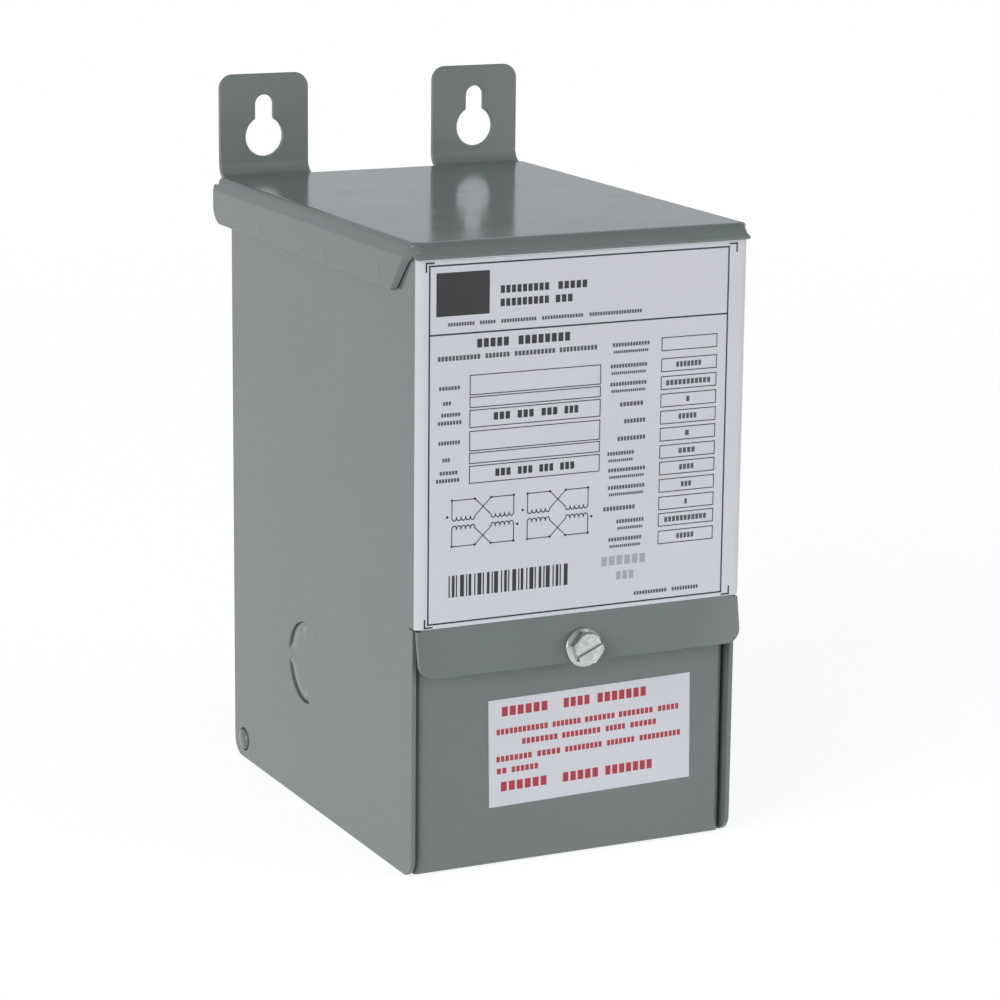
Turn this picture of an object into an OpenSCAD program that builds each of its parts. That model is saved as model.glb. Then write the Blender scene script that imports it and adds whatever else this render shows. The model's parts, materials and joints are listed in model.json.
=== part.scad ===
// Wall-hung buck boost transformer in a folded sheet-steel enclosure.
// The upper part is filled with resin around the core and coils. Below it is a wiring
// compartment, closed by a door that swings down about two dimples at the rear.
// Millimetres. +X is right, -Y is the front, +Z is up. The origin is the middle of the
// overall depth and width, level with the bottom edges of the side walls.

/* [Enclosure] */
// Width over the side walls
body_w = 92; // [84:1:110]
// Depth from the front panel's face to the rear edges of the side walls
body_d = 122.8; // [110:0.1:150]
// Thickness of the wall sheet
wall_t = 1.2; // [1:0.1:1.5]
// Outside radius of the bends between the front panel and the side walls
front_bend_r = 1.8; // [1.6:0.1:4]
// Radius of the bottom corners of the side walls
foot_r = 5; // [2:0.5:8]
// How far the lower front edges of the side walls sit behind the ends of those bends
lower_setback = 0.2; // [0:0.1:1]
// Gap between the back panel and the side walls
back_fit = 0.1; // [0.05:0.05:0.3]

/* [Flap over the door] */
// Height at which the front panel ends and the flap bends forward
flap_bend_z = 65.5; // [60:0.5:72]
// Height of the flap below that bend
flap_h = 12.2; // [10:0.1:15]
// How far the lower edge of the flap stands ahead of the front panel
flap_flare = 2.2; // [1.8:0.1:4]
// Gap between each end of the flap and the outside of the side wall
flap_end_gap = 0.3; // [0.1:0.1:1]
// Radius of the flap's lower corners
flap_corner_r = 4; // [2:0.5:6]
// Height of the relief slit under the bends
relief_h = 0.3; // [0.2:0.1:1.5]
// Length of the relief slit from the front panel's face
relief_len = 4.4; // [4:0.1:8]

/* [Top cover] */
// Height of the top face
top_z = 162.5; // [145:0.5:190]
// Thickness of the cover sheet
cover_t = 1.5; // [1.2:0.1:2]
// Gap between the cover's side flanges and the side walls
cover_gap = 0.15; // [0.05:0.05:0.4]
// Inside radius of the bends between the top and the side flanges
cover_bend_r = 0.2; // [0.1:0.1:1]
// Lean of the flanges next to the bend, before they turn upright along the walls
flange_lean = 12; // [5:1:15]
// Height of that leaning part, from the top face
flange_lean_h = 4; // [3:0.1:6]
// Height of the side flanges
flange_h = 12.9; // [9:0.1:16]
// Distance from the front panel's face to the lower front corner of a flange
flange_start = 12; // [8:0.5:16]
// Distance from the front panel's face to the upper front corner of a flange
flange_top_start = 2; // [0:0.1:2]
// Radius of the lower rear corner of a flange
flange_corner_r = 5; // [2:0.5:7]
// How far the rear ends of the flanges stop short of the wall that the tabs lie on
flange_wall_gap = 1.6; // [0.3:0.1:3]
// How far below the top face the flanges end beside the tabs
flange_rear_drop = 2.3; // [2:0.1:4]
// How far ahead of the front panel's face the front lip reaches
lip_out = 1.4; // [1:0.1:3]
// Height from the top face to the lower edge of the front lip
lip_drop = 4.2; // [3.8:0.1:6]
// Angle by which the front lip is bent down
lip_angle = 62; // [45:1:75]
// Inside radius of the bend between the top and the front lip
lip_bend_r = 1.9; // [1:0.1:2.5]
// How far the ends of the lip's bend stop short of the outside of the side walls
lip_end_inset = 1; // [0.8:0.1:2]
// How far each end of the lip spreads outwards below its bend
lip_end_flare = 1.4; // [0:0.1:1.5]
// Gap between the cover and the upper edges of the walls
wall_top_gap = 0.2; // [0.1:0.1:1]

/* [Wall tabs] */
// Distance from the rear edges of the side walls to the front face of the tabs
tab_back = 9.8; // [8:0.1:14]
// Height of the tabs above the top face
tab_h = 27.5; // [24:0.5:35]
// Width of one tab
tab_w = 26.2; // [22:0.1:26.4]
// Radius of the tabs' upper corners
tab_corner_r = 4; // [1:0.5:6]
// Inside radius of the bend between the top and a tab
tab_bend_r = 3.2; // [1.5:0.1:4]
// Distance between the two keyholes, each in the middle of its tab
keyhole_spacing = 64.2; // [56:0.1:64.4]
// Diameter of the round part of a keyhole
keyhole_d = 11; // [8:0.1:13]
// Width of the slot of a keyhole
keyhole_slot_w = 5.3; // [4:0.1:6.5]
// Height of the round part's centre above the top face
keyhole_z = 10.2; // [8:0.1:13]
// Height of the slot's end above the round part's centre
keyhole_slot_h = 11.5; // [8:0.1:14]

/* [Knockouts] */
// Diameter of the knockout hole
knockout_d = 22.2; // [20:0.1:28]
// Height of the knockout's centre
knockout_z = 39; // [30:0.5:45]
// Distance from the front panel's face to the knockout's centre
knockout_back = 71.4; // [55:0.5:80]
// Width of the slit round the rear half of the slug
knockout_slit = 0.35; // [0.2:0.05:0.6]
// Gap round the front half of the slug
knockout_fit = 0.05; // [0.03:0.01:0.1]
// Width of the tie that holds the slug
knockout_tie_w = 3; // [2:0.5:5]

/* [Door] */
// Thickness of the door sheet
door_t = 1.2; // [1:0.1:1.5]
// Gap between the door and each side wall
door_side_gap = 0.6; // [0.4:0.1:1]
// Height of the door's underside
door_z = 0.3; // [0.2:0.1:0.6]
// Height of the door's upper edge
door_top_z = 60.8; // [58:0.1:62]
// How far the door's face sits behind the front panel's face
door_recess = 3.5; // [3.2:0.1:5]
// Outside radius of the door's upright bends
door_bend_r = 2.5; // [1.8:0.1:3.5]
// Outside radius of the bend along the door's foot
door_foot_r = 1.3; // [1.3:0.1:2.5]
// Height of the door's side flanges
door_flange_h = 15; // [12:0.5:20]
// Length of the sloping part of the door's side flanges
door_gusset_len = 38; // [25:1:50]
// Depth of the upright returns at the door's upper corners
door_return_d = 5; // [4:0.5:8]
// Height of the plain returns above the sloping part
door_return_h = 12; // [8:0.5:16]

/* [Hinge] */
// Distance from the rear edges of the side walls to the hinge line
hinge_inset = 7; // [6.5:0.1:10]
// Height of the hinge line
hinge_z = 5.4; // [5:0.1:6]
// Diameter of the hinge holes in the side walls
hinge_d = 6.5; // [5:0.1:7]
// Gap all round between a hinge dimple and its hole
hinge_fit = 0.07; // [0.03:0.01:0.1]
// How far the end of a hinge dimple sits inside the wall's face
hinge_sink = 0.3; // [0.1:0.1:0.6]

/* [Door screw] */
// Height of the screw where it passes the flap's face
screw_z = 56.9; // [56:0.1:58]
// Diameter of the screw's shank
screw_d = 4.8; // [3.5:0.1:5]
// Gap all round the shank in the door
screw_fit = 0.1; // [0.05:0.05:0.3]
// Length of the shank
screw_len = 13; // [10:0.5:16]
// Diameter of the screw's washer face
washer_d = 10.5; // [9:0.1:12]
// Thickness of the washer face
washer_t = 0.9; // [0.6:0.1:1.5]
// Distance across the flats of the hexagon
hex_af = 7.9; // [6:0.1:8.5]
// Height of the hexagon
hex_h = 3; // [2:0.1:4]
// Width of the driver slot
driver_slot_w = 1.4; // [0.8:0.1:2]
// Depth of the driver slot
driver_slot_d = 1.4; // [0.8:0.1:2]
// Turn of the driver slot from level
driver_slot_turn = 27; // [0:1:90]
// Width of the slot in the flap
flap_slot_w = 6.2; // [5.4:0.1:8]
// Radius of the corners at the mouth of that slot
flap_slot_mouth_r = 2.4; // [1:0.1:3]
// Gap between the washer face and the flap
screw_seat_gap = 0.1; // [0.05:0.05:0.3]

/* [Resin block] */
// Height of the resin's lower face
resin_z = 68; // [67:0.5:75]
// Gap between the resin block and the sheets round it
resin_fit = 0.2; // [0.1:0.05:0.4]

/* [Labels] */
// Thickness of a label
label_t = 0.2; // [0.1:0.05:0.3]
// Thickness of the glue under a label
glue_t = 0.05; // [0.02:0.01:0.1]
// Height of the nameplate's lower edge above the flap's bend
nameplate_gap = 0.2; // [0:0.1:2]
// How far round the front bends the nameplate runs
nameplate_wrap = 65; // [20:5:80]
// Width of the lower label
lower_label_w = 58; // [40:0.1:70]
// Height of the lower label
lower_label_h = 28.4; // [20:0.1:32]
// Height of the lower label above the door's foot
lower_label_z = 15.9; // [10:0.1:20]
// How far the lower label's middle lies to the right of the door's middle
lower_label_shift = 5.1; // [-6:0.1:6]
// Turn of the lower label from level, with its right end higher
lower_label_turn = 1; // [-3:0.1:3]

/* [Hidden] */
$fn = 64;

// Extra length of a cutting tool past the faces it cuts
cut = 1;
// The rear face of the tabs, measured from the front panel's face
overall_back = body_d + tab_back + cover_t;
// The flap's slope and how far it stands ahead of the front panel at the screw
flap_angle = atan(flap_flare / flap_h);
screw_flare = (flap_bend_z - screw_z) * tan(flap_angle);
head_h = screw_seat_gap + washer_t + hex_h;
screw_reach = screw_flare + head_h * cos(flap_angle) + hex_af / 2 * sin(flap_angle);
// The front panel's face, set so that the origin is the middle of the overall depth
front_y = (screw_reach - overall_back) / 2;
wall_rear_y = front_y + body_d;
tab_y = wall_rear_y + tab_back;
half_w = body_w / 2;
inner_half_w = half_w - wall_t;
// Along the flap's slope: its length and how far down the screw sits
flap_len = flap_h / cos(flap_angle);
screw_down = (flap_bend_z - screw_z) / cos(flap_angle);

cover_half_w = half_w + cover_gap + cover_t;
cover_under_z = top_z - cover_t;
flange_z = top_z - flange_h;
flange_rear_y = tab_y + cover_t - flange_wall_gap;
tab_outer_x = keyhole_spacing / 2 + tab_w / 2;
// The lip's lower edges, the end of its bend and the straight run between them
lip_outer_r = lip_bend_r + cover_t;
lip_z = top_z - lip_drop;
lip_tip_z = lip_z + cover_t * cos(lip_angle);
lip_bend_z = top_z - lip_outer_r * (1 - cos(lip_angle));
lip_run = (lip_bend_z - lip_tip_z) / sin(lip_angle);
lip_bend_y = front_y - lip_out + lip_run * cos(lip_angle) + lip_outer_r * sin(lip_angle);
// The walls end below the lip and below the leaning part of the flanges
flange_upright_z = top_z - flange_lean_h - cover_t * tan(flange_lean / 2);
wall_top_z = min(lip_z, flange_upright_z) - wall_top_gap;

hinge_y = wall_rear_y - hinge_inset;
hinge_ear_r = hinge_z - door_z;
door_half_w = inner_half_w - door_side_gap;
door_y = front_y + door_recess;
knockout_y = front_y + knockout_back;

// Colours
paint = [0.50, 0.53, 0.52];
paint_dark = [0.42, 0.45, 0.44];
paper = [0.84, 0.85, 0.87];
zinc = [0.78, 0.79, 0.78];
resin = [0.13, 0.13, 0.12];

// A shape drawn in depth and height, run along the width
module along_x(x0, len) {
    translate([x0, 0, 0]) rotate([90, 0, 90]) linear_extrude(len) children();
}

// A shape drawn in width and height, run along the depth
module along_y(y0, len) {
    translate([0, y0 + len, 0]) rotate([90, 0, 0]) linear_extrude(len) children();
}

// A plan with rounded front corners
module front_rounded_plan(half, front, rear, r) {
    translate([-half + r, front]) square([2 * (half - r), rear - front]);
    translate([-half, front + r]) square([2 * half, rear - front - r]);
    for (side = [-1, 1])
        translate([side * (half - r), front + r]) circle(r);
}

// A rectangle whose two lower corners are rounded
module foot_rounded(x0, z0, x1, z1, r) {
    translate([x0, z0 + r]) square([x1 - x0, z1 - z0 - r]);
    translate([x0 + r, z0]) square([x1 - x0 - 2 * r, z1 - z0]);
    for (x = [x0 + r, x1 - r])
        translate([x, z0 + r]) circle(r);
}

// The front panel and the upper side walls, folded from one sheet
module wrap_shell() {
    translate([0, 0, flap_bend_z])
        linear_extrude(wall_top_z - flap_bend_z)
            difference() {
                front_rounded_plan(half_w, front_y, wall_rear_y, front_bend_r);
                front_rounded_plan(inner_half_w, front_y + wall_t, wall_rear_y + cut,
                                   front_bend_r - wall_t);
            }
}

// The lower part of one side wall, whose bottom edge is a foot
module lower_wall(x0) {
    along_x(x0, wall_t)
        foot_rounded(front_y + front_bend_r + lower_setback, 0, wall_rear_y,
                     flap_bend_z + front_bend_r, foot_r);
}

// The slits under the bends, which free the ends of the flap and the lower walls
module relief_slits() {
    for (side = [0, 1])
        mirror([side, 0, 0])
            translate([half_w - front_bend_r, front_y - cut, flap_bend_z - relief_h])
                cube([front_bend_r + cut, relief_len + cut, relief_h]);
}

// Places a shape on the flap's face: its height runs up the slope to the bend
module on_flap() {
    translate([0, front_y, flap_bend_z]) rotate([90 - flap_angle, 0, 0]) children();
}

// Side view of the flap, run on past its lower edge
module flap_section() {
    run = flap_len + cut;
    rise = wall_t * sin(flap_angle);
    polygon([
        [front_y, flap_bend_z],
        [front_y - run * sin(flap_angle), flap_bend_z - run * cos(flap_angle)],
        [front_y - run * sin(flap_angle) + wall_t * cos(flap_angle),
         flap_bend_z - run * cos(flap_angle) - rise],
        [front_y + wall_t, flap_bend_z - wall_t * tan(flap_angle / 2)],
        [front_y + wall_t, flap_bend_z + wall_t],
        [front_y, flap_bend_z + wall_t],
    ]);
}

// The open slot that lets the door screw drop out of the flap
module flap_slot() {
    translate([-flap_slot_w / 2, -flap_len - cut])
        square([flap_slot_w, flap_len - screw_down + cut]);
    translate([0, -screw_down]) circle(d = flap_slot_w);
    for (side = [0, 1])
        mirror([side, 0])
            translate([flap_slot_w / 2, -flap_len])
                difference() {
                    translate([-cut, -cut]) square(flap_slot_mouth_r + cut);
                    translate([flap_slot_mouth_r, flap_slot_mouth_r]) circle(flap_slot_mouth_r);
                }
}

module flap() {
    flap_half_w = half_w - flap_end_gap;
    bend_half_w = half_w - front_bend_r;
    intersection() {
        along_x(-half_w, body_w) flap_section();
        on_flap()
            translate([0, 0, -2 * wall_t])
                linear_extrude(3 * wall_t)
                    difference() {
                        union() {
                            foot_rounded(-flap_half_w, -flap_len, flap_half_w, 0, flap_corner_r);
                            translate([-bend_half_w, -relief_h])
                                square([2 * bend_half_w, relief_h + wall_t / 2]);
                        }
                        flap_slot();
                    }
    }
}

module enclosure_wrap() {
    color(paint)
        difference() {
            union() {
                wrap_shell();
                lower_wall(-half_w);
                lower_wall(inner_half_w);
                flap();
            }
            relief_slits();
            // Knockout holes and hinge holes in both side walls
            translate([-half_w - cut, knockout_y, knockout_z])
                rotate([0, 90, 0]) cylinder(h = body_w + 2 * cut, d = knockout_d);
            translate([-half_w - cut, hinge_y, hinge_z])
                rotate([0, 90, 0]) cylinder(h = body_w + 2 * cut, d = hinge_d);
        }
}

module back_panel() {
    panel_half_w = inner_half_w - back_fit;
    color(paint)
        translate([-panel_half_w, wall_rear_y - wall_t, 0])
            cube([2 * panel_half_w, wall_t, cover_under_z]);
}

// Front view of the space under the cover's outside, or under its inside if inset by the sheet
module cover_outline(inset, bottom_z) {
    half = cover_half_w - inset;
    top = top_z - inset;
    r = cover_bend_r + cover_t - inset;
    upright_z = top_z - flange_lean_h - inset * tan(flange_lean / 2);
    bend_x = half - (r + (top - r - upright_z) * sin(flange_lean)) / cos(flange_lean);
    for (side = [0, 1])
        mirror([side, 0]) {
            translate([bend_x, top - r]) circle(r);
            polygon([
                [-cut, top],
                [bend_x, top],
                [bend_x + r * cos(flange_lean), top - r + r * sin(flange_lean)],
                [half, upright_z],
                [half, bottom_z],
                [-cut, bottom_z],
            ]);
        }
}

// Front view of the top and its two side flanges
module cover_section() {
    difference() {
        cover_outline(0, flange_z);
        cover_outline(cover_t, flange_z - cut);
    }
}

// Side view of the front lip, bent down from the top
module lip_section() {
    translate([lip_bend_y, cover_under_z]) square([cover_t, cover_t]);
    translate([lip_bend_y, top_z - lip_outer_r]) {
        intersection() {
            difference() {
                circle(lip_outer_r);
                circle(lip_bend_r);
            }
            polygon([
                [0, 0],
                [0, 2 * lip_outer_r],
                [-2 * lip_outer_r * sin(lip_angle), 2 * lip_outer_r * cos(lip_angle)],
            ]);
        }
        // The straight run, with a point at its rear that overlaps the bend
        rotate(lip_angle)
            polygon([
                [-lip_run, lip_bend_r],
                [0, lip_bend_r],
                [cover_t / 2, lip_bend_r + cover_t / 2],
                [0, lip_outer_r],
                [-lip_run, lip_outer_r],
            ]);
    }
}

// Front view of the lip, whose ends spread below the bend
module lip_outline() {
    bend_half_w = half_w - lip_end_inset;
    edge_half_w = bend_half_w + lip_end_flare;
    for (side = [0, 1])
        mirror([side, 0])
            polygon([
                [0, top_z + cut],
                [bend_half_w, top_z + cut],
                [bend_half_w, lip_bend_z],
                [edge_half_w, lip_tip_z],
                [edge_half_w, lip_z - cut],
                [0, lip_z - cut],
            ]);
}

module front_lip() {
    lip_depth = lip_bend_y + cover_t - front_y + lip_out;
    intersection() {
        along_x(-body_w, 2 * body_w) lip_section();
        along_y(front_y - lip_out - cut, lip_depth + 2 * cut) lip_outline();
    }
}

// Side view of a tab, bent up from the top
module tab_section() {
    bend_y = tab_y - tab_bend_r;
    bend_z = top_z + tab_bend_r;
    translate([bend_y - cover_t, cover_under_z]) square([cover_t, cover_t]);
    translate([bend_y, bend_z])
        intersection() {
            difference() {
                circle(tab_bend_r + cover_t);
                circle(tab_bend_r);
            }
            translate([0, -tab_bend_r - cover_t]) square(tab_bend_r + cover_t);
        }
    translate([tab_y, bend_z]) square([cover_t, tab_h - tab_bend_r]);
}

// A slot above a round hole, open to each other
module keyhole() {
    circle(d = keyhole_d);
    translate([-keyhole_slot_w / 2, 0])
        square([keyhole_slot_w, keyhole_slot_h - keyhole_slot_w / 2]);
    translate([0, keyhole_slot_h - keyhole_slot_w / 2]) circle(d = keyhole_slot_w);
}

// One tab, with its outer edge towards +X
module wall_tab() {
    inner_x = tab_outer_x - tab_w;
    tab_depth = tab_bend_r + 2 * cover_t;
    intersection() {
        along_x(inner_x, tab_w) tab_section();
        along_y(tab_y + cover_t - tab_depth - cut, tab_depth + 2 * cut)
            difference() {
                mirror([0, 1])
                    foot_rounded(inner_x, -top_z - tab_h, tab_outer_x, -cover_under_z + cut,
                                 tab_corner_r);
                translate([keyhole_spacing / 2, top_z + keyhole_z]) keyhole();
            }
    }
}

module top_cover() {
    plate_rear_y = tab_y - tab_bend_r;
    flange_run = flange_rear_y - lip_bend_y;
    // How far a flange's sloping front end moves back for each unit of height
    slope = (flange_start - flange_top_start) / flange_h;
    color(paint) {
        difference() {
            along_y(lip_bend_y, flange_run) cover_section();
            // The top ends where the tabs bend up, and only the lower flanges run on
            translate([-cover_half_w - cut, plate_rear_y, top_z - flange_rear_drop])
                cube([2 * (cover_half_w + cut), flange_run, flange_rear_drop + cut]);
            // Sloping front ends and rounded rear corners of the flanges
            along_x(-cover_half_w - cut, 2 * (cover_half_w + cut)) {
                polygon([
                    [front_y - flange_start, flange_z - cut],
                    [front_y + flange_start + cut * slope, flange_z - cut],
                    [front_y + flange_top_start - cut * slope, top_z + cut],
                    [front_y - flange_start, top_z + cut],
                ]);
                translate([flange_rear_y - flange_corner_r, flange_z - cut])
                    difference() {
                        square([flange_corner_r + cut, flange_corner_r + cut]);
                        translate([0, flange_corner_r + cut]) circle(flange_corner_r);
                    }
            }
        }
        front_lip();
        for (side = [0, 1])
            mirror([side, 0, 0]) wall_tab();
    }
}

// Core and coils set in resin: one solid mass
module resin_block() {
    color(resin)
        translate([0, 0, resin_z])
            linear_extrude(wall_top_z - resin_fit - resin_z)
                front_rounded_plan(inner_half_w - resin_fit, front_y + wall_t + resin_fit,
                                   wall_rear_y - wall_t - resin_fit, front_bend_r);
}

// A printed sheet that runs a little way round both front bends
module nameplate_label() {
    wrap_back = front_bend_r * (1 - cos(nameplate_wrap));
    color(paper)
        translate([0, 0, flap_bend_z + nameplate_gap])
            linear_extrude(wall_top_z - flap_bend_z - nameplate_gap)
                intersection() {
                    difference() {
                        front_rounded_plan(half_w + glue_t + label_t, front_y - glue_t - label_t,
                                           wall_rear_y, front_bend_r + glue_t + label_t);
                        front_rounded_plan(half_w + glue_t, front_y - glue_t,
                                           wall_rear_y + cut, front_bend_r + glue_t);
                    }
                    translate([-body_w, front_y - cut]) square([2 * body_w, wrap_back + cut]);
                }
}

// One slug: tight in its hole at the front, slit free at the rear but for a tie
module knockout_slug(x0) {
    slug_r = knockout_d / 2 - knockout_slit;
    tight_r = knockout_d / 2 - knockout_fit;
    color(paint)
        along_x(x0, wall_t)
            translate([knockout_y, knockout_z]) {
                circle(slug_r);
                intersection() {
                    circle(tight_r);
                    union() {
                        translate([-knockout_d, -knockout_d / 2]) square([knockout_d, knockout_d]);
                        translate([0, -knockout_tie_w / 2]) square([knockout_d, knockout_tie_w]);
                    }
                }
            }
}

module knockout_left() {
    knockout_slug(-half_w);
}

module knockout_right() {
    knockout_slug(inner_half_w);
}

// The space that the door's face and sides enclose, or its inside if inset by the sheet
module door_prism(inset) {
    linear_extrude(door_top_z + cut)
        front_rounded_plan(door_half_w - inset, door_y + inset, wall_rear_y + inset,
                           door_bend_r - inset);
}

// Side view of the door: face, sloping gussets, low flanges and round hinge ears
module door_outline() {
    return_y = door_y + door_return_d;
    gusset_y = return_y + door_gusset_len;
    difference() {
        union() {
            polygon([
                [front_y - cut, door_z],
                [hinge_y, door_z],
                [hinge_y, hinge_z + hinge_ear_r],
                [gusset_y, door_flange_h],
                [return_y, door_top_z - door_return_h],
                [return_y, door_top_z],
                [front_y - cut, door_top_z],
            ]);
            translate([hinge_y, hinge_z]) circle(hinge_ear_r);
        }
        translate([door_y, door_z])
            difference() {
                translate([-door_recess - cut, -cut])
                    square([door_recess + cut + door_foot_r, door_foot_r + cut]);
                translate([door_foot_r, door_foot_r]) circle(door_foot_r);
            }
    }
}

// A pressed dimple that stands in a hinge hole, towards +X
module hinge_dimple() {
    dimple_r = hinge_d / 2 - hinge_fit;
    dimple_len = half_w - hinge_sink - door_half_w;
    crown_r = dimple_len / 2;
    translate([door_half_w - door_t / 2, hinge_y, hinge_z])
        rotate([0, 90, 0])
            rotate_extrude() {
                square([dimple_r, door_t / 2 + dimple_len - crown_r]);
                square([dimple_r - crown_r, door_t / 2 + dimple_len]);
                translate([dimple_r - crown_r, door_t / 2 + dimple_len - crown_r]) circle(crown_r);
            }
}

// Places a shape at the screw, with its axis square to the flap
module at_screw() {
    on_flap() translate([0, -screw_down, 0]) children();
}

module door() {
    color(paint_dark)
        difference() {
            union() {
                intersection() {
                    difference() {
                        door_prism(0);
                        intersection() {
                            door_prism(door_t);
                            translate([-body_w, front_y, door_z + door_t])
                                cube([2 * body_w, 2 * body_d, 2 * door_top_z]);
                        }
                    }
                    along_x(-body_w, 2 * body_w) door_outline();
                }
                for (side = [0, 1])
                    mirror([side, 0, 0]) hinge_dimple();
            }
            at_screw()
                translate([0, 0, -screw_len])
                    cylinder(h = screw_len, d = screw_d + 2 * screw_fit);
        }
}

// Slotted hexagon head with a washer face
module door_screw() {
    color(zinc)
        at_screw()
            difference() {
                union() {
                    translate([0, 0, -screw_len]) cylinder(h = screw_len + head_h / 2, d = screw_d);
                    translate([0, 0, screw_seat_gap]) cylinder(h = washer_t, d = washer_d);
                    intersection() {
                        translate([0, 0, screw_seat_gap])
                            cylinder(h = washer_t + hex_h, d = hex_af / cos(30), $fn = 6);
                        cylinder(h = head_h, d1 = hex_af + 2 * head_h, d2 = hex_af);
                    }
                }
                rotate([0, 0, driver_slot_turn])
                    translate([-hex_af, -driver_slot_w / 2, head_h - driver_slot_d])
                        cube([2 * hex_af, driver_slot_w, driver_slot_d + cut]);
            }
}

module lower_label() {
    color(paper)
        translate([lower_label_shift, door_y - glue_t - label_t, door_z + lower_label_z + lower_label_h / 2])
            rotate([0, -lower_label_turn, 0])
                translate([-lower_label_w / 2, 0, -lower_label_h / 2])
                    cube([lower_label_w, label_t, lower_label_h]);
}

enclosure_wrap();
back_panel();
top_cover();
resin_block();
nameplate_label();
knockout_left();
knockout_right();
door();
door_screw();
lower_label();
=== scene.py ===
"""Looks of a wall-hung buck boost transformer: paint, printed sheets, screw, light and camera.

The CAD pieces come from the frame and stay where they are. This script gives them soft
edges and finishes, and adds what is too fine for the CAD: weld marks, drawn corners, lanced
slugs, hinge domes, print, and the thread and slot of the screw. Lengths are in metres, or
in mm where a comment says so, in the frame's own axes: +X right, -Y front, +Z up.
"""

import json
import math

import bpy
from mathutils import Matrix, Vector


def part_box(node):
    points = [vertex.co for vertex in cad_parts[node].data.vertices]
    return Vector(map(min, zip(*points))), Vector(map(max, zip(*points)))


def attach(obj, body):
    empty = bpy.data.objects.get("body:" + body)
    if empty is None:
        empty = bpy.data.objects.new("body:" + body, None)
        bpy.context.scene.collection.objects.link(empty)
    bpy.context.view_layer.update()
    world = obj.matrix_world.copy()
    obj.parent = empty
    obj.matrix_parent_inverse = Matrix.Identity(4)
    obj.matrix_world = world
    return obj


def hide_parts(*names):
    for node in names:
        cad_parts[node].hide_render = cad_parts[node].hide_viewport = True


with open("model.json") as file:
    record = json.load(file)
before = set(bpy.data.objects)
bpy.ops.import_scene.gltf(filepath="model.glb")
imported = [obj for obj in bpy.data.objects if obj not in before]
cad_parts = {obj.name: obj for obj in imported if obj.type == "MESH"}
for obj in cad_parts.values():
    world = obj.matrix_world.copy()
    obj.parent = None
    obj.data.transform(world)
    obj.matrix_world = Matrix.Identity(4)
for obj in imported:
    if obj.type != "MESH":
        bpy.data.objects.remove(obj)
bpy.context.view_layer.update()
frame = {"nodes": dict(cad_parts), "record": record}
nodes = frame["nodes"]

MM = 0.001
# Points nearer than this count as one, or as level
CLOSE = 0.01 * MM


# Finishes

class NodeTree:
    """Short calls that add nodes to a shader tree."""

    # Sockets of a Mix node for colours, which share their names with those for numbers
    MIX_A, MIX_B, MIX_RESULT = 6, 7, 2

    def __init__(self, tree):
        self.tree = tree

    def feed(self, socket, value):
        """Links an input to another node's socket, or sets it to a plain value."""
        if isinstance(value, bpy.types.NodeSocket):
            self.tree.links.new(value, socket)
        else:
            socket.default_value = value

    def node(self, kind, **values):
        """Adds a node and feeds its inputs, which are named with _ for a space."""
        made = self.tree.nodes.new(kind)
        for name, value in values.items():
            self.feed(made.inputs[name.replace("_", " ")], value)
        return made

    def between(self, factor, low, high, start=0, end=1):
        """A number that runs from low to high as the factor runs from start to end."""
        made = self.node(
            "ShaderNodeMapRange",
            Value=factor, From_Min=start, From_Max=end, To_Min=low, To_Max=high,
        )
        return made.outputs["Result"]

    def calculate(self, operation, first, second):
        made = self.tree.nodes.new("ShaderNodeMath")
        made.operation = operation
        self.feed(made.inputs[0], first)
        self.feed(made.inputs[1], second)
        return made.outputs[0]

    def tint(self, factor, dark, light):
        """A colour that runs from dark to light with the factor."""
        made = self.tree.nodes.new("ShaderNodeMix")
        made.data_type = "RGBA"
        self.feed(made.inputs["Factor"], factor)
        self.feed(made.inputs[self.MIX_A], (*dark, 1))
        self.feed(made.inputs[self.MIX_B], (*light, 1))
        return made.outputs[self.MIX_RESULT]


class Finish(NodeTree):
    """A new material with a Principled shader, whose textures keep to the piece."""

    def __init__(self, name):
        self.material = bpy.data.materials.new(name)
        self.material.use_nodes = True
        super().__init__(self.material.node_tree)
        self.shader = self.tree.nodes["Principled BSDF"]
        self.place = self.node("ShaderNodeTexCoord").outputs["Object"]

    def set(self, **values):
        """Feeds inputs of the shader."""
        for name, value in values.items():
            self.feed(self.shader.inputs[name.replace("_", " ")], value)

    def noise(self, size, detail=2.0):
        """Noise whose features are about that size."""
        made = self.node(
            "ShaderNodeTexNoise", Vector=self.place, Scale=1 / size, Detail=detail
        )
        return made.outputs["Fac"]

    def relief(self, height, depth, below=None):
        """Bump of that depth, over an earlier one if given."""
        made = self.node("ShaderNodeBump", Height=height, Distance=depth)
        if below:
            self.feed(made.inputs["Normal"], below)
        return made.outputs["Normal"]


def scaled(colour, factor):
    return tuple(c * factor for c in colour)


def paint(name, colour):
    """Semi-gloss grey paint on sheet steel: faint orange peel and slow changes of shade."""
    finish = Finish(name)
    shade = finish.noise(45 * MM)
    peel = finish.noise(1.4 * MM)
    sway = finish.noise(40 * MM, detail=0)
    finish.set(
        Base_Color=finish.tint(shade, scaled(colour, 0.95), scaled(colour, 1.05)),
        Roughness=finish.between(finish.noise(12 * MM), 0.10, 0.18, start=0.2, end=0.8),
        IOR=1.5,
        Normal=finish.relief(peel, 0.003 * MM, finish.relief(sway, 0.05 * MM)),
    )
    return finish.material


def printed_sheet():
    """Satin white film, not quite flat on the steel."""
    finish = Finish("label_sheet")
    shade = finish.noise(30 * MM)
    finish.set(
        Base_Color=finish.tint(shade, (0.83, 0.84, 0.89), (0.89, 0.90, 0.95)),
        Roughness=0.36,
        Normal=finish.relief(finish.noise(16 * MM, detail=1), 0.05 * MM),
    )
    return finish.material


def ink(name, colour):
    finish = Finish(name)
    finish.set(Base_Color=(*colour, 1), Roughness=0.45)
    return finish.material


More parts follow.
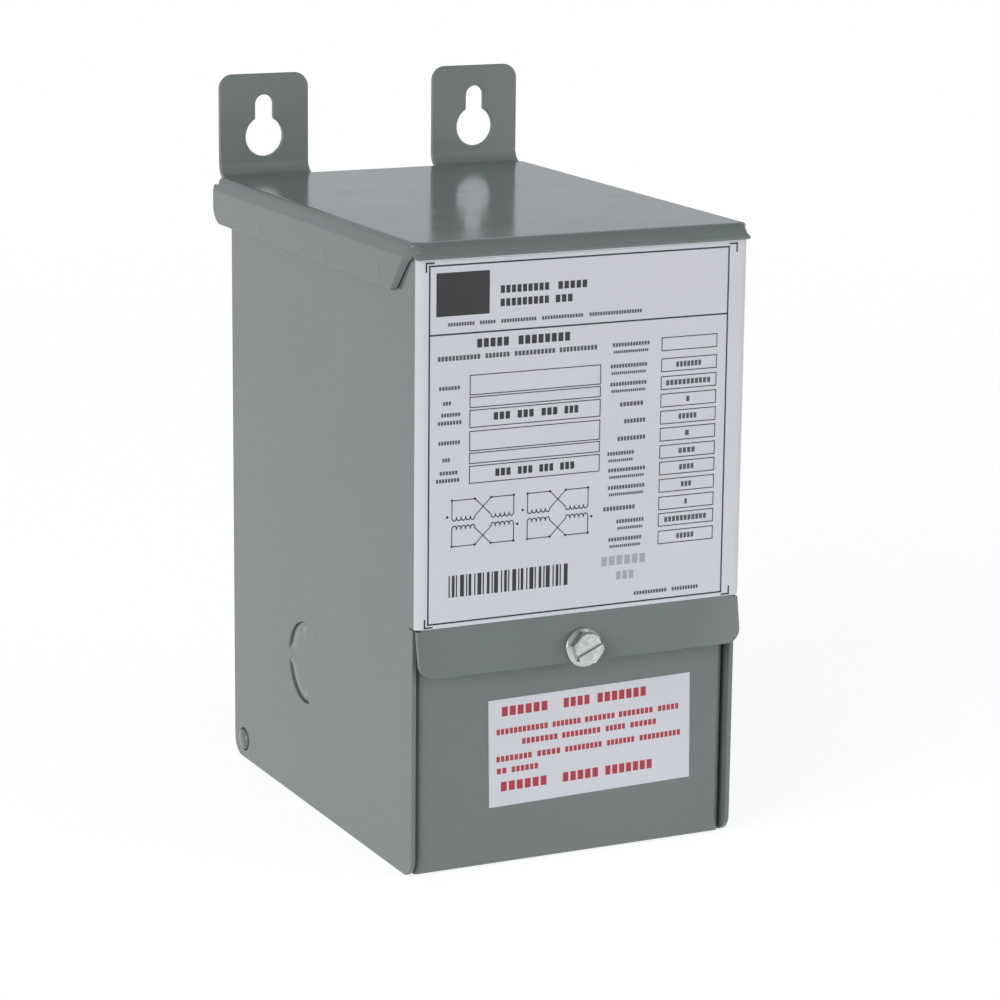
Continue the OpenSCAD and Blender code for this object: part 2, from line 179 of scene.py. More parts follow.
def zinc_plate(name, colour, smoothest, roughest):
    """Zinc plate with a little cloudiness."""
    finish = Finish(name)
    cloud = finish.noise(1.5 * MM)
    finish.set(
        Base_Color=finish.tint(cloud, scaled(colour, 0.85), scaled(colour, 1.15)),
        Metallic=1.0,
        Roughness=finish.between(cloud, smoothest, roughest, start=0.35, end=0.65),
        Normal=finish.relief(finish.noise(0.3 * MM), 0.01 * MM),
    )
    return finish.material


def cast_resin():
    """Dark resin with sand in it, as it set."""
    finish = Finish("resin")
    grain = finish.noise(0.9 * MM, detail=4)
    finish.set(
        Base_Color=finish.tint(grain, (0.018, 0.018, 0.017), (0.06, 0.058, 0.052)),
        Roughness=finish.between(finish.noise(6 * MM), 0.45, 0.70, start=0.35, end=0.65),
        Normal=finish.relief(grain, 0.25 * MM, finish.relief(finish.noise(12 * MM), 0.8 * MM)),
    )
    return finish.material


PAINT = (0.212, 0.241, 0.234)
FINISHES = {
    "grey_paint": paint("grey_paint", PAINT),
    # The door's paint is a lighter copy of the grey paint: painted light, which brightens the
    # door
    "door_paint": paint("door_paint", scaled(PAINT, 1.03)),
    "label_sheet": printed_sheet(),
    "zinc_screw": zinc_plate("zinc_screw", (0.545, 0.56, 0.545), 0.15, 0.20),
    "resin": cast_resin(),
}
# Zinc of the screw's slot: rougher than the head's, and darker as painted shade in the slot
SLOT_ZINC_PAINTED_SHADE = zinc_plate("slot_zinc_painted_shade", (0.46, 0.47, 0.46), 0.35, 0.45)
BLACK_INK = ink("black_ink", (0.022, 0.022, 0.026))
GREY_INK = ink("grey_ink", (0.10, 0.10, 0.115))
FADED_INK = ink("faded_ink", (0.50, 0.51, 0.54))
RED_INK = ink("red_ink", (0.52, 0.045, 0.075))


# CAD pieces

# Width of the soft edges
SHEET_EDGE = 0.22 * MM
COVER_EDGE = 0.34 * MM
# Pieces that keep their edges: the thin sheets, and what this script replaces
UNSOFTENED = (
    "nameplate_label", "lower_label", "door_screw", "knockout_left", "knockout_right"
)
# Faces that meet at less than FLAT become one, and edges sharper than SHARP are rounded
FLAT = math.radians(0.2)
SHARP = math.radians(9.5)


def soften(obj, width):
    """Rounds the sharp edges of a CAD piece by modifiers, which leave its own mesh alone."""
    weld = obj.modifiers.new("weld", "WELD")
    weld.merge_threshold = CLOSE
    flats = obj.modifiers.new("whole flats", "DECIMATE")
    flats.decimate_type = "DISSOLVE"
    flats.angle_limit = FLAT
    bevel = obj.modifiers.new("soft edges", "BEVEL")
    bevel.width = width
    bevel.segments = 3
    bevel.limit_method = "ANGLE"
    bevel.angle_limit = SHARP
    bevel.use_clamp_overlap = False
    normals = obj.modifiers.new("even normals", "WEIGHTED_NORMAL")
    normals.keep_sharp = False


def dress_cad_pieces():
    """Gives each CAD piece the finish of its slot, and soft edges to the folded sheets."""
    for entry in frame["record"]["subparts"]:
        name = entry["node"]
        piece = nodes[name]
        piece.data.materials.clear()
        piece.data.materials.append(FINISHES[entry["material_slot"]])
        if name not in UNSOFTENED:
            for polygon in piece.data.polygons:
                polygon.use_smooth = True
            soften(piece, COVER_EDGE if name == "top_cover" else SHEET_EDGE)


# Ways to add pieces

def add_object(name, points, faces, material, smooth=False):
    mesh = bpy.data.meshes.new(name)
    mesh.from_pydata(points, [], faces)
    mesh.validate()
    for polygon in mesh.polygons:
        polygon.use_smooth = smooth
    mesh.materials.append(material)
    obj = bpy.data.objects.new(name, mesh)
    bpy.context.scene.collection.objects.link(obj)
    return obj


def add_piece(name, points, faces, slot, body, smooth=True):
    """Adds a piece that rides a body and has the finish of a slot."""
    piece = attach(add_object(name, points, faces, FINISHES[slot], smooth), body)
    return piece


def thicken(piece, thickness):
    """Makes a sheet of a skin, inwards."""
    sheet = piece.modifiers.new("sheet", "SOLIDIFY")
    sheet.thickness = thickness


def sides(name):
    """Yields the name, the x and the outward direction of both sides of a piece's box."""
    for side, corner in zip(("left", "right"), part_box(name)):
        yield side, corner.x, math.copysign(1, corner.x)


def front_face(name, right=None):
    """Axes on a piece's foremost flat, with their origin in its middle.

    Y is up, z is outwards, and x runs along the foot of the flat or as given.
    """
    parallel = 0.99999
    mesh = nodes[name].data
    normal = min((p.normal for p in mesh.polygons), key=lambda n: n.y).copy()
    facing = [p for p in mesh.polygons if p.normal.dot(normal) > parallel]
    foremost = max(p.center.dot(normal) for p in facing)
    flat = [p for p in facing if p.center.dot(normal) > foremost - CLOSE]
    corners = [mesh.vertices[i].co for p in flat for i in p.vertices]
    if right is None:
        foot_left = min(corners, key=lambda c: c.x + c.z)
        foot_right = max(corners, key=lambda c: c.x - c.z)
        right = (foot_right - foot_left).normalized()
    up = normal.cross(right)
    middle = Vector((0, 0, 0))
    for axis in (right, up, normal):
        reach = [c.dot(axis) for c in corners]
        middle += axis * (min(reach) + max(reach)) / 2
    axes = Matrix((right, up, normal)).transposed().to_4x4()
    axes.translation = middle
    return axes


# Faces of the front's sheet and of the panel just behind it
SHEET_TO_PANEL = 0.25 * MM
SHEET_Y = front_face("nameplate_label").translation.y
PANEL_Y = SHEET_Y + SHEET_TO_PANEL
# Top of the cover, which lies on the back panel
COVER_THICKNESS = 1.5 * MM
TOP_Z = max(v.co.z for v in nodes["back_panel"].data.vertices) + COVER_THICKNESS


def lathe(rings):
    """Points and faces of a skin over rings of equal length, with both ends closed."""
    points = [point for ring in rings for point in ring]
    count = len(rings[0])
    faces = [range(count - 1, -1, -1)]
    for row in range(len(rings) - 1):
        low, high = row * count, (row + 1) * count
        for i in range(count):
            j = (i + 1) % count
            faces.append((low + i, low + j, high + j, high + i))
    faces.append(range(len(points) - count, len(points)))
    return points, faces


def round_skin(profile, centre, out, steps, sunk=lambda radius, turn: 0):
    """Points and faces of a round form on a side of the case.

    The profile gives the radius and the height off the side in mm, ring by ring. The last
    function gives what is taken off the height at a radius and an angle in degrees.
    """
    rings = []
    for radius, height in profile:
        ring = []
        for i in range(steps):
            turn = -out * 360 * i / steps % 360
            angle = math.radians(turn)
            ring.append(centre + MM * Vector((
                out * (height - sunk(radius, turn)),
                radius * math.cos(angle),
                radius * math.sin(angle),
            )))
        rings.append(ring)
    return lathe(rings)


def grid_faces(rows, width, way, first=0):
    """Faces between rows of points, turned one way or the other."""
    faces = []
    for row in range(rows - 1):
        for i in range(width - 1):
            a = first + row * width + i
            face = (a, a + width, a + width + 1, a + 1)
            faces.append(face if way > 0 else face[::-1])
    return faces


# Cover and walls

def weld_marks():
    """Shallow rings that spot welding leaves on the flanges of the cover."""
    # Radius and height, and then the places back from the front sheet and up, in mm
    profile = (
        (1.9, -0.02), (1.6, 0.02), (1.25, 0.055), (0.9, 0.05), (0.5, 0.015), (0.2, 0.005)
    )
    places = ((98.4, 152.5), (54.6, 151.7), (20.4, 152.7))
    for side, x, out in sides("top_cover"):
        for number, (back, up) in enumerate(places, 1):
            centre = Vector((x, SHEET_Y + back * MM, up * MM))
            points, faces = round_skin(profile, centre, out, steps=24)
            add_piece(f"weld_{side}_{number}", points, faces, "grey_paint", "case")


def corner_folds():
    """The drawn corners of the cover, which join the front lip to the ends of the flanges.

    Each row runs from the lip or the wall to the flange. Its ends are in mm: inwards from
    the flange's face, back from the panel's face and up from the top. The last value is how
    far it bulges, from 0 for straight to 1 for round.
    """
    rows = (
        ((2.65, 2.30, -0.10), (2.15, 2.60, -0.10), 0),
        ((2.65, 1.34, -0.25), (1.40, 2.20, -0.28), 0),
        ((2.65, 0.31, -0.85), (0.95, 2.60, -0.80), 0),
        ((2.65, -0.48, -1.80), (0.60, 3.05, -1.35), 0),
        ((2.30, -0.75, -2.40), (0.42, 3.75, -2.10), 0.2),
        ((1.70, 1.40, -3.10), (0.15, 4.70, -3.20), 0.35),
        ((1.25, 3.60, -4.40), (-0.03, 5.70, -4.40), 0.25),
        ((1.20, 4.75, -5.60), (-0.03, 6.60, -5.50), 0.2),
        ((1.15, 7.40, -8.60), (-0.03, 8.95, -8.50), 0.2),
        ((1.10, 11.30, -12.90), (-0.03, 12.30, -12.90), 0.2),
    )
    steps, thickness = 8, 0.6 * MM
    for side, x, out in sides("top_cover"):
        points = []
        for near, far, bulge in rows:
            near, far = Vector(near), Vector(far)
            corner = Vector((far.x, near.y, (near.z + far.z) / 2))
            bend = near.lerp(far, 0.5).lerp(corner, bulge)
            for step in range(steps + 1):
                run = step / steps
                inward, back, up = near.lerp(bend, run).lerp(bend.lerp(far, run), run) * MM
                points.append((x - out * inward, PANEL_Y + back, TOP_Z + up))
        faces = grid_faces(len(rows), steps + 1, out)
        fold = add_piece(f"corner_fold_{side}", points, faces, "grey_paint", "case")
        smooth = fold.modifiers.new("smooth", "SUBSURF")
        smooth.levels = smooth.render_levels = 2
        thicken(fold, thickness)


def wall_rims():
    """The tops of the side walls at the front bends, which close the case under the corners."""
    # In mm: inwards from the wall and back from the panel's face, and up from the top
    inset, rear, bend_r = 0.02, 7.0, 1.8
    low, high = -4.7, -1.6
    bend_angle, steps, thickness = 45, 6, 1.0 * MM
    path = [(inset, rear), (inset, bend_r)]
    for step in range(1, steps + 1):
        turn = math.radians(bend_angle * step / steps)
        path.append((inset + bend_r * (1 - math.cos(turn)), bend_r * (1 - math.sin(turn))))
    for side, x, out in sides("enclosure_wrap"):
        points = [
            (x - out * inward * MM, PANEL_Y + back * MM, TOP_Z + up * MM)
            for inward, back in path
            for up in (low, high)
        ]
        faces = grid_faces(len(path), 2, -out)
        rim = add_piece(f"wall_rim_{side}", points, faces, "grey_paint", "case")
        thicken(rim, thickness)


def nameplate_head():
    """The upper end of the front's sheet, which runs up behind the lip of the cover."""
    rise, overlap, upward = 0.5 * MM, 0.05 * MM, 0.99
    mesh = nodes["nameplate_label"].data
    top = max(v.co.z for v in mesh.vertices)
    caps = [p for p in mesh.polygons if p.normal.z > upward and p.center.z > top - CLOSE]
    points, faces, places = [], [], {}

    def place(index, lift):
        """Index of the new point that much above a point of the sheet's upper edge."""
        if (index, lift) not in places:
            places[index, lift] = len(points)
            points.append(mesh.vertices[index].co + Vector((0, 0, lift)))
        return places[index, lift]

    edges = [edge for p in caps for edge in zip(p.vertices, (*p.vertices[1:], p.vertices[0]))]
    for a, b in edges:
        if (b, a) not in edges:
            faces.append((place(a, -overlap), place(b, -overlap), place(b, rise), place(a, rise)))
    for p in caps:
        faces.append([place(i, rise) for i in p.vertices])
        faces.append([place(i, -overlap) for i in reversed(p.vertices)])
    add_piece("nameplate_head", points, faces, "label_sheet", "case", smooth=False)


# Knockouts

# The slits, in degrees from the rear by way of the top
SLITS = ((7.5, 92), (256, 352.5))


def slug_place(side):
    """Middle and radius of a CAD slug."""
    low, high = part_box(f"knockout_{side}")
    return (low + high) / 2, (high.z - low.z) / 2


def knockout_paint():
    """Paint that bridges the joint of each slug where it isn't slit: at its front and its tie."""
    (_, upper), (lower, tie) = SLITS
    arcs = ((upper, lower), (tie - 360, 360 - tie))
    # Distance outwards from the joint and height off the wall, in mm
    profile = ((-0.7, -0.01), (-0.45, 0.015), (0.45, 0.015), (0.7, -0.01))
    step_angle = 4
    for side, x, out in sides("enclosure_wrap"):
        middle, joint_r = slug_place(side)
        points, faces = [], []
        for start, end in arcs:
            first = len(points)
            steps = max(2, round((end - start) / step_angle))
            for step in range(steps + 1):
                turn = math.radians(start + (end - start) * step / steps)
                for off, height in profile:
                    radius = joint_r + off * MM
                    points.append((
                        x + out * height * MM,
                        middle.y + radius * math.cos(turn),
                        middle.z + radius * math.sin(turn),
                    ))
            faces += grid_faces(steps + 1, len(profile), -out, first)
        add_piece(f"knockout_paint_{side}", points, faces, "grey_paint", "case")


def slug_skin(centre, joint_r, out):
    """Points and faces of a slug, pressed in along its slits towards the edge."""
    # In mm, then the degrees over which the press sets in at the ends of a slit
    press, thickness, clearance = 0.62, 1.2, 0.1
    edge_r, edge_drop = 0.12, 0.02
    press_run = 9
    # Shares of the radius at which rings lie, of which one bounds the flat middle
    flat = 0.54
    shares = (0.3, flat, 0.62, 0.70, 0.78, 0.86, 0.93)
    rim = joint_r / MM - clearance

    def sunk(radius, turn):
        slope = max(0, (radius / rim - flat) / (1 - flat))
        inside = max(min(turn - start, end - turn) for start, end in SLITS)
        return press * max(0, min(1, inside / press_run)) * slope ** 2

    profile = [(rim * share, -thickness) for share in (*shares, 1)]
    profile += [(rim, -edge_r), (rim - edge_r / 2, -edge_drop), (rim - 2 * edge_r, 0)]
    profile += [(rim * share, 0) for share in reversed(shares)]
    return round_skin(profile, centre, out, steps=96, sunk=sunk)


def knockout_slugs():
    """The slugs, whose edges are pressed in along their slits, as lancing leaves them."""
    crease = math.radians(30)
    for side, x, out in sides("enclosure_wrap"):
        middle, joint_r = slug_place(side)
        points, faces = slug_skin(Vector((x, middle.y, middle.z)), joint_r, out)
        slug = add_piece(f"slug_{side}", points, faces, "grey_paint", "case")
        slug.data.set_sharp_from_angle(angle=crease)
        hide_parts(f"knockout_{side}")


# Door

def hinge_domes():
    """The pressed domes on which the door turns, in the holes of the side walls."""
    # Radius and height, in mm
    profile = (
        (2.85, -0.6), (2.85, 0.0), (2.68, 0.38), (2.2, 0.72), (1.4, 0.95), (0.5, 1.05)
    )
    hinge = Vector(frame["record"]["behaviour"]["joints"][0]["pos_m"])
    for side, x, out in sides("enclosure_wrap"):
        centre = Vector((x, hinge.y, hinge.z))
        points, faces = round_skin(profile, centre, out, steps=32)
        add_piece(f"hinge_dome_{side}", points, faces, "door_paint", "door")


def screw_skin():
    """Points and faces of the screw, in axes whose origin is in the face of its head.

    All sizes are in mm, and z points out of the head.
    """
    steps = 48
    face_r, chamfer_r, chamfer_slope = 0.6, 3.5, 0.577
    hex_half, hex_foot, hex_turn = 3.75, -3.0, math.radians(-10)
    fillet_out, fillet_up = 0.12, 0.15
    washer_r, washer_foot = 5.05, -3.9
    washer_edge = ((0.35, 0), (0.05, 0.1), (0, 0.3), (0.1, 0.55), (0.4, 0.75))
    neck_r, neck, neck_run = 2.1, -4.7, 0.1
    thread_r, thread_depth, pitch, thread_row = 2.4, 0.42, 0.8, 0.1
    tip_r, tip = 1.7, -17.0

    def ring(shape):
        """A ring from a shape that gives the radius and the height at an angle."""
        points = []
        for i in range(steps):
            turn = hex_turn + 2 * math.pi * i / steps
            radius, height = shape(turn)
            points.append(MM * Vector((radius * math.cos(turn), radius * math.sin(turn), height)))
        return points

    def circle(radius, height):
        return ring(lambda turn: (radius, height))

    def hexagon(turn):
        return hex_half / math.cos((turn - hex_turn) % (math.pi / 3) - math.pi / 6)

    def thread(height):
        def shape(turn):
            phase = (height / pitch - turn / (2 * math.pi)) % 1
            radius = thread_r - thread_depth * abs(2 * phase - 1)
            return min(radius, tip_r + height - tip), height
        return ring(shape)

    rows = round((neck - tip) / thread_row)
    rings = [thread(tip + (neck - tip) * i / rows) for i in range(rows + 1)]
    rings += [circle(neck_r, neck + neck_run), circle(neck_r, washer_foot)]
    rings += [circle(washer_r - inset, washer_foot + rise) for inset, rise in washer_edge]
    rings += [
        ring(lambda turn: (hexagon(turn) + fillet_out, hex_foot)),
        ring(lambda turn: (hexagon(turn), hex_foot + fillet_up)),
        ring(lambda turn: (hexagon(turn), (chamfer_r - hexagon(turn)) * chamfer_slope)),
        circle(chamfer_r, 0),
        circle(face_r, 0),
    ]
    return lathe(rings)


def cut_slot(screw, axes):
    """Cuts the driver slot from the screw's head. The plate in it is dull, and darker than the
    head's as painted shade in the slot.
    """
    half_length, half_width, depth, turn = 7.5 * MM, 0.85 * MM, 0.9 * MM, math.radians(22)
    slot_axes = axes @ Matrix.Rotation(turn, 4, "Z")
    corners = [
        slot_axes @ Vector((x * half_length, y * half_width, z * depth))
        for z in (-1, 1)
        for x, y in ((-1, -1), (1, -1), (1, 1), (-1, 1))
    ]
    box = [(0, 3, 2, 1), (4, 5, 6, 7), (0, 1, 5, 4), (1, 2, 6, 5), (2, 3, 7, 6), (3, 0, 4, 7)]
    tool = add_object("slot", corners, box, SLOT_ZINC_PAINTED_SHADE)
    cut = screw.modifiers.new("driver slot", "BOOLEAN")
    cut.object = tool
    cut.material_mode = "TRANSFER"
    shown = screw.evaluated_get(bpy.context.evaluated_depsgraph_get())
    screw.data = bpy.data.meshes.new_from_object(shown)
    screw.modifiers.clear()
    bpy.data.objects.remove(tool)


def door_screw():
    """The screw with chamfered hexagon, washer face and thread, on the CAD screw's axis."""
    crease = math.radians(20)
    axes = front_face("door_screw", right=Vector((1, 0, 0)))
    points, faces = screw_skin()
    points = [axes @ point for point in points]
    screw = add_object("screw", points, faces, FINISHES["zinc_screw"], smooth=True)
    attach(screw, "door")
    cut_slot(screw, axes)
    screw.data.set_sharp_from_angle(angle=crease)
    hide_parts("door_screw")


# Print

class Print:
    """Flat ink shapes on a sheet. Places are in mm from the middle of the sheet."""

    LIFT = 0.02 * MM
    # Room for a block as a share of its height, and its width as a share of that room
    BLOCK_ROOM, BLOCK_WIDTH = 0.84, 0.74

    def __init__(self, sheet, body):
        self.axes = front_face(sheet)
        self.body = body
        self.points = []
        self.faces = []

    def shape(self, outline):
        start = len(self.points)
        self.points += [self.axes @ Vector((x * MM, y * MM, self.LIFT)) for x, y in outline]
        self.faces.append(range(start, len(self.points)))

    def bar(self, x0, y0, x1, y1):
        self.shape([(x0, y0), (x1, y0), (x1, y1), (x0, y1)])

    def words(self, y, height, *spans):
        """Plain blocks where a line of words would stand."""
        for x0, x1 in spans:
            count = max(1, round((x1 - x0) / (self.BLOCK_ROOM * height)))
            pitch = (x1 - x0) / count
            for i in range(count):
                x = x0 + pitch * i
                self.bar(x, y - height / 2, x + self.BLOCK_WIDTH * pitch, y + height / 2)

    def line(self, width, *path):
        """Strokes along a path, each longer by half its width at both ends."""
        for (x0, y0), (x1, y1) in zip(path, path[1:]):
            run = math.hypot(x1 - x0, y1 - y0)
            dx, dy = (x1 - x0) / run * width / 2, (y1 - y0) / run * width / 2
            self.shape([
                (x0 - dx + dy, y0 - dy - dx),
                (x1 + dx + dy, y1 + dy - dx),
                (x1 + dx - dy, y1 + dy + dx),
                (x0 - dx - dy, y0 - dy + dx),
            ])

    def frame(self, width, x0, y0, x1, y1):
        self.line(width, (x0, y0), (x1, y0), (x1, y1), (x0, y1), (x0, y0))

    def dot(self, x, y, radius, steps=16):
        turns = [2 * math.pi * i / steps for i in range(steps)]
        self.shape([(x + radius * math.cos(t), y + radius * math.sin(t)) for t in turns])

    def coil(self, width, x0, x1, y, bulge, turns=5, steps=8):
        """A row of half rounds, as a winding is drawn."""
        pitch = (x1 - x0) / turns
        path = []
        for turn in range(turns):
            for i in range(steps + 1):
                angle = math.pi * i / steps
                x = x0 + pitch * (turn + 0.5 - 0.5 * math.cos(angle))
                path.append((x, y + bulge * math.sin(angle)))
        self.line(width, *[p for i, p in enumerate(path) if i == 0 or p != path[i - 1]])

    def finish(self, name, material):
        """Makes a piece of the shapes so far, and starts afresh."""
        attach(add_object(name, self.points, self.faces, material), self.body)
        self.points, self.faces = [], []


# Widths of the strokes on the front's sheet, and the tops of the boxes in its data column
THIN, RULE = 0.25, 0.42
DATA_TOPS = (22.9, 17.5, 12.9, 8.4, 4.0, -0.4, -4.9, -9.2, -13.7, -18.3, -22.6, -27.2)


def draw_frames(sheet):
    """The frame with its corner marks, the rule under the heading, and the boxes."""
    left, right, low, high = -42.8, 40.4, -45.0, 45.0
    heading_foot = 27.9
    sheet.frame(RULE, left, low, right, high)
    sheet.line(RULE, (left, heading_foot), (right, heading_foot))

    # Corner marks, further off on the right
    mark, off_left, off_right, off_y = 2.0, 0.9, 2.3, 0.75
    for x, sx in ((left - off_left, -1), (right + off_right, 1)):
        for y, sy in ((low - off_y, -1), (high + off_y, 1)):
            sheet.line(RULE, (x - sx * mark, y), (x, y), (x, y - sy * mark))

    # Three boxes for each of the two windings
    box_left, box_right = -31.7, 4.4
    for top in (17.3, 3.2):
        for down, height in ((0, 4.9), (5.5, 2.6), (8.8, 4.3)):
            sheet.frame(THIN, box_left, top - down - height, box_right, top - down)

    # Boxes of the data column
    data_left, data_right, data_height = 21.7, 37.5, 3.3
    for top in DATA_TOPS:
        sheet.frame(THIN, data_left, top - data_height, data_right, top)


def draw_titles(sheet):
    """The dark block of the heading and the blocks of the larger lines."""
    sheet.bar(-41.0, 32.4, -26.6, 43.2)
    sheet.words(38.2, 1.9, (-23.6, -10.0), (-7.8, 0.6))
    sheet.words(34.9, 1.9, (-23.6, -10.0), (-8.5, -3.4))
    sheet.words(25.2, 2.2, (-29.9, -20.8), (-18.6, -3.9))
    sheet.words(6.6, 1.9, (-25.2, -20.3), (-18.6, -13.8), (-12.0, -7.2), (-5.6, -1.4))
    sheet.words(-7.7, 1.9, (-24.6, -20.0), (-18.4, -14.0), (-12.4, -8.2), (-6.6, -2.3))


def draw_small_lines(sheet):
    """The blocks of the smaller lines: in the heading, at the boxes and at the foot."""
    sheet.words(
        30.3, 0.9, (-37.8, -30.5), (-29.2, -24.8), (-23.4, -13.6), (-12.2, -0.6), (1.0, 15.9)
    )
    sheet.words(21.9, 1.2, (-40.5, -28.8), (-27.6, -20.8), (-19.6, -8.2), (-7.2, 3.5))
    for y, x0, x1 in (
        (14.5, -40.1, -34.3), (10.7, -39.0, -36.7), (7.8, -39.5, -34.2), (5.8, -40.4, -33.8),
        (0.8, -40.2, -34.2), (-3.5, -39.1, -36.9), (-6.8, -39.8, -34.8), (-8.7, -40.8, -34.3),
    ):
        sheet.words(y, 0.95, (x0, x1))

    # Captions of the data column, some of them in two lines
    captions = (
        (7.7, 18.3), (7.2, 17.7), (7.2, 17.6), (10.0, 16.8), (11.3, 17.5), (9.5, 17.6),
        (6.7, 14.4), (7.0, 17.7), (7.0, 17.6), (5.8, 15.0), (9.6, 17.6), (7.4, 17.0),
    )
    in_two_lines = (0, 1, 2, 6, 7, 8, 10, 11)
    for i, (top, (x0, x1)) in enumerate(zip(DATA_TOPS, captions)):
        if i in in_two_lines:
            sheet.words(top - 0.9, 0.95, (x0, x1))
            sheet.words(top - 2.7, 0.7, (x0 + 0.3, x1 - 0.4))
        else:
            sheet.words(top - 1.7, 1.1, (x0, x1))

    # Entries in its boxes, of which the first is empty
    middle = 29.6
    widths = (0, 7.4, 13.0, 1.2, 5.4, 1.4, 5.0, 4.4, 3.2, 1.0, 12.4, 5.2)
    for top, width in zip(DATA_TOPS, widths):
        if width:
            sheet.words(top - 1.65, 1.35, (middle - width / 2, middle + width / 2))
    sheet.words(-42.8, 0.95, (15.0, 24.6), (26.0, 33.8))


def draw_windings(sheet):
    """Two winding diagrams, each of two pairs of coils whose leads cross."""
    width, half_gap, lead, bulge = 17.0, 2.2, 4.3, 0.9
    end_r, mark_r = 0.32, 0.35
    for left in (-36.4, -15.6):
        right = left + width
        inner_left, inner_right = left + width / 2 - half_gap, left + width / 2 + half_gap
        for y, way in ((-18.2, -1), (-21.3, 1)):
            far = y - way * lead
            sheet.coil(THIN, left, inner_left, y, way * bulge)
            sheet.coil(THIN, inner_right, right, y, way * bulge)
            sheet.line(THIN, (left, y), (left, far), (inner_left, far), (inner_right, y))
            sheet.line(THIN, (right, y), (right, far), (inner_right, far), (inner_left, y))
            for x in (left, inner_left, inner_right, right):
                sheet.dot(x, far, end_r)
        sheet.dot(left - 1.3, -18.0, mark_r)
        sheet.dot(right + 1.0, -21.4, mark_r)


def draw_bars(sheet):
    """A row of plain upright bars, whose widths and gaps repeat."""
    widths, gaps = (0.35, 0.75, 0.35, 1.1), (0.55, 0.35, 0.8)
    x, low, high = -37.2, -38.6, -33.0
    for step in range(28):
        width = widths[step % len(widths)]
        sheet.bar(x, low, x + width, high)
        x += width + gaps[step % len(gaps)]


def draw_stamp(sheet):
    """The blocks of two faded lines."""
    sheet.words(-33.6, 2.4, (5.5, 18.6))
    sheet.words(-37.6, 2.2, (9.8, 15.2))


def print_nameplate():
    """The printed sheet of the front, without wording, marks or numbers."""
    sheet = Print("nameplate_label", "case")
    for draw, name, material in (
        (draw_frames, "nameplate_lines", BLACK_INK),
        (draw_titles, "nameplate_titles", BLACK_INK),
        (draw_small_lines, "nameplate_small_lines", GREY_INK),
        (draw_windings, "nameplate_diagrams", BLACK_INK),
        (draw_bars, "nameplate_bars", BLACK_INK),
        (draw_stamp, "nameplate_stamp", FADED_INK),
    ):
        draw(sheet)
        sheet.finish(name, material)


def print_lower_label():
    """Plain red blocks where the door's sheet carries its lines."""
    large, small = 2.5, 1.5
    sheet = Print("lower_label", "door")
    sheet.words(10.9, large, (-25.3, -11.8), (-7.7, 0.2), (2.0, 16.6))
    sheet.words(
        5.6, small, (-26.8, -12.0), (-10.9, -2.6), (-1.6, 7.3), (8.2, 18.4), (19.7, 26.0)
    )
    sheet.words(2.3, small, (-19.6, -9.2), (-8.2, 3.1), (4.4, 10.3), (11.6, 19.4))
    sheet.words(
        -1.6, small, (-26.9, -16.6), (-15.3, -8.4), (-7.3, 3.5), (4.8, 13.0), (14.3, 26.5)
    )
    sheet.words(-4.8, small, (-26.8, -23.7), (-22.6, -14.8))
    sheet.words(-9.0, large, (-25.7, -12.1), (-8.0, 2.7), (4.3, 18.4))
    sheet.finish("lower_label_lines", RED_INK)


# Stage, light and camera

def stage_floor():
    """A pale table under the object. It keeps the shadow and runs out into plain white.

    To the camera and in reflections it glows, and shows part of the light that falls on it.
    """
    half = 6.0
    fade_start, fade_end = 0.20, 1.0
    bounce, shown, glow_near, glow_far = 0.90, 0.44, 0.82, 1.0
    finish = Finish("floor")
    path = finish.node("ShaderNodeLightPath").outputs
    seen = finish.calculate("MAXIMUM", path["Is Camera Ray"], path["Is Glossy Ray"])
    seen = finish.calculate("MAXIMUM", seen, path["Is Transmission Ray"])
    reach = finish.tree.nodes.new("ShaderNodeVectorMath")
    reach.operation = "LENGTH"
    finish.feed(reach.inputs[0], finish.place)
    near = finish.between(reach.outputs["Value"], 1, 0, start=fade_start, end=fade_end)
    albedo = finish.calculate("MULTIPLY", near, finish.between(seen, bounce, shown))
    glow = finish.calculate("MULTIPLY", seen, finish.between(near, glow_far, glow_near))
    diffuse = finish.node("ShaderNodeBsdfDiffuse", Color=albedo)
    emission = finish.node("ShaderNodeEmission", Strength=glow)
    both = finish.tree.nodes.new("ShaderNodeAddShader")
    finish.feed(both.inputs[0], diffuse.outputs[0])
    finish.feed(both.inputs[1], emission.outputs[0])
    finish.feed(finish.tree.nodes["Material Output"].inputs["Surface"], both.outputs[0])
    finish.tree.nodes.remove(finish.shader)
    corners = [(-half, -half, 0), (half, -half, 0), (half, half, 0), (-half, half, 0)]
    floor = add_object("floor", corners, [(0, 1, 2, 3)], finish.material)


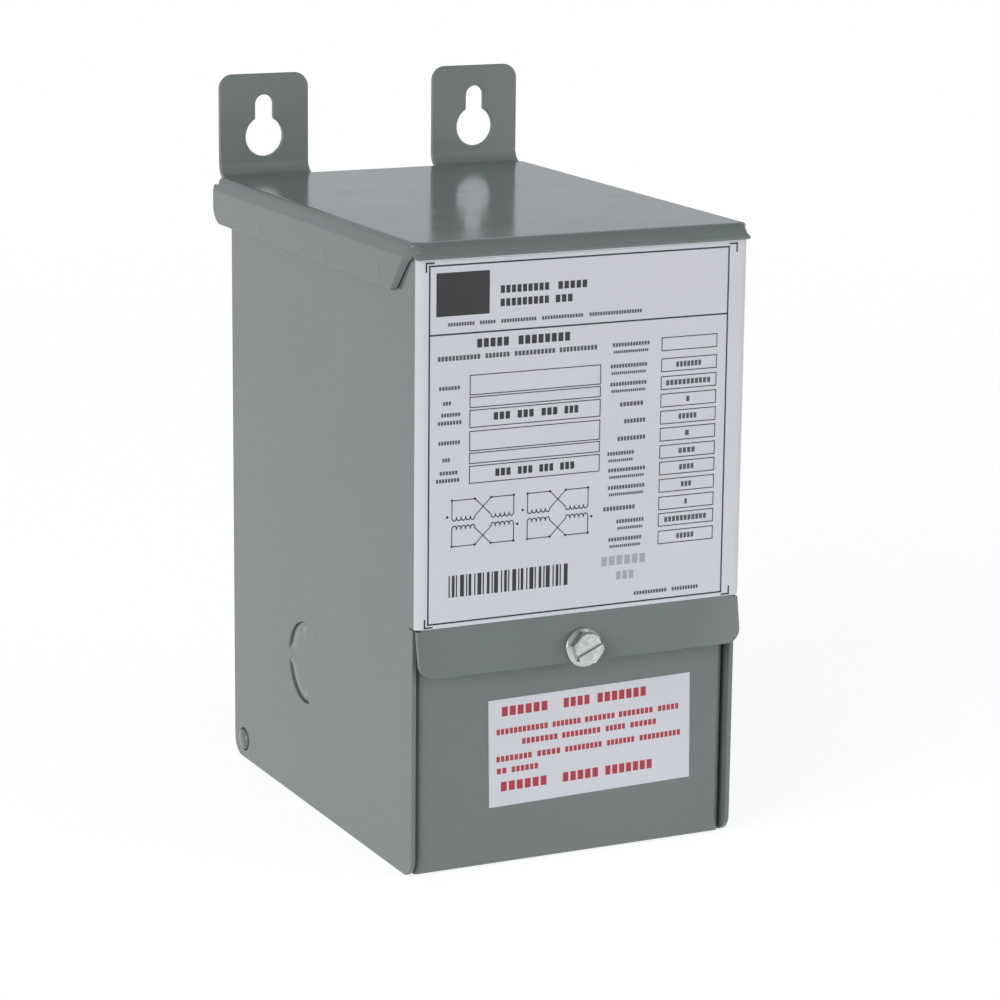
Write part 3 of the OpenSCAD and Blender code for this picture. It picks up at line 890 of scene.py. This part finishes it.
def studio_world(horizon, zenith, colour, share):
    """A surround that is white to the camera and through glass.

    In reflections it's paler near the horizon than overhead, and as soft light it keeps only
    a share of that.
    """
    world = bpy.data.worlds.new("studio")
    world.use_nodes = True
    sky = NodeTree(world.node_tree)
    place = sky.node("ShaderNodeTexCoord").outputs["Generated"]
    height = sky.node("ShaderNodeSeparateXYZ", Vector=place).outputs["Z"]
    path = sky.node("ShaderNodeLightPath").outputs
    seen = sky.calculate("MAXIMUM", path["Is Camera Ray"], path["Is Transmission Ray"])
    kept = sky.between(path["Is Glossy Ray"], share, 1)
    light = sky.calculate("MULTIPLY", sky.between(height, horizon, zenith), kept)
    background = sky.tree.nodes["Background"]
    sky.feed(background.inputs["Color"], sky.tint(seen, colour, (1, 1, 1)))
    sky.feed(background.inputs["Strength"], sky.between(seen, light, 1))
    bpy.context.scene.world = world


def softbox(name, place, aim, size, level):
    """A square area light that lights a white face at its aim, square to it, to that level."""
    light = bpy.data.lights.new(name, "AREA")
    light.size = size
    reach = Vector(aim) - Vector(place)
    light.energy = level * math.pi ** 2 * reach.length ** 2
    obj = bpy.data.objects.new(name, light)
    obj.location = place
    obj.rotation_euler = reach.to_track_quat("-Z", "Y").to_euler()
    bpy.context.scene.collection.objects.link(obj)


def photo_camera():
    """The camera fitted to the photo."""
    azimuth, elevation, roll = (math.radians(d) for d in (-25.93, 13.06, 0.60))
    aim_back, aim_up = 0.0616, 0.0874
    target = Vector((0, SHEET_Y + aim_back, aim_up))
    distance, shift_right, shift_up = 0.9253, 0.00599, -0.00550
    back = Vector((
        math.sin(azimuth) * math.cos(elevation),
        -math.cos(azimuth) * math.cos(elevation),
        math.sin(elevation),
    ))
    level = Vector((math.cos(azimuth), math.sin(azimuth), 0))
    upright = back.cross(level)
    right = level * math.cos(roll) + upright * math.sin(roll)
    up = upright * math.cos(roll) - level * math.sin(roll)
    data = bpy.data.cameras.new("camera")
    data.sensor_width = 36
    data.lens = 124.4
    camera = bpy.data.objects.new("camera", data)
    axes = Matrix((right, up, back)).transposed().to_4x4()
    axes.translation = target + back * distance + right * shift_right + up * shift_up
    camera.matrix_world = axes
    bpy.context.scene.collection.objects.link(camera)
    bpy.context.scene.camera = camera


dress_cad_pieces()
weld_marks()
corner_folds()
wall_rims()
knockout_paint()
knockout_slugs()
nameplate_head()
hinge_domes()
door_screw()
print_nameplate()
print_lower_label()

CENTRE = (0, 0, 0.09)
stage_floor()
studio_world(horizon=0.77, zenith=0.28, colour=(0.93, 0.965, 1.0), share=0.7)
softbox("key", (-1.55, -0.88, 0.42), CENTRE, size=1.5, level=0.57)
softbox("fill", (1.3, -1.2, 0.10), CENTRE, size=1.1, level=0.38)
photo_camera()
bpy.context.scene.view_settings.view_transform = "Standard"
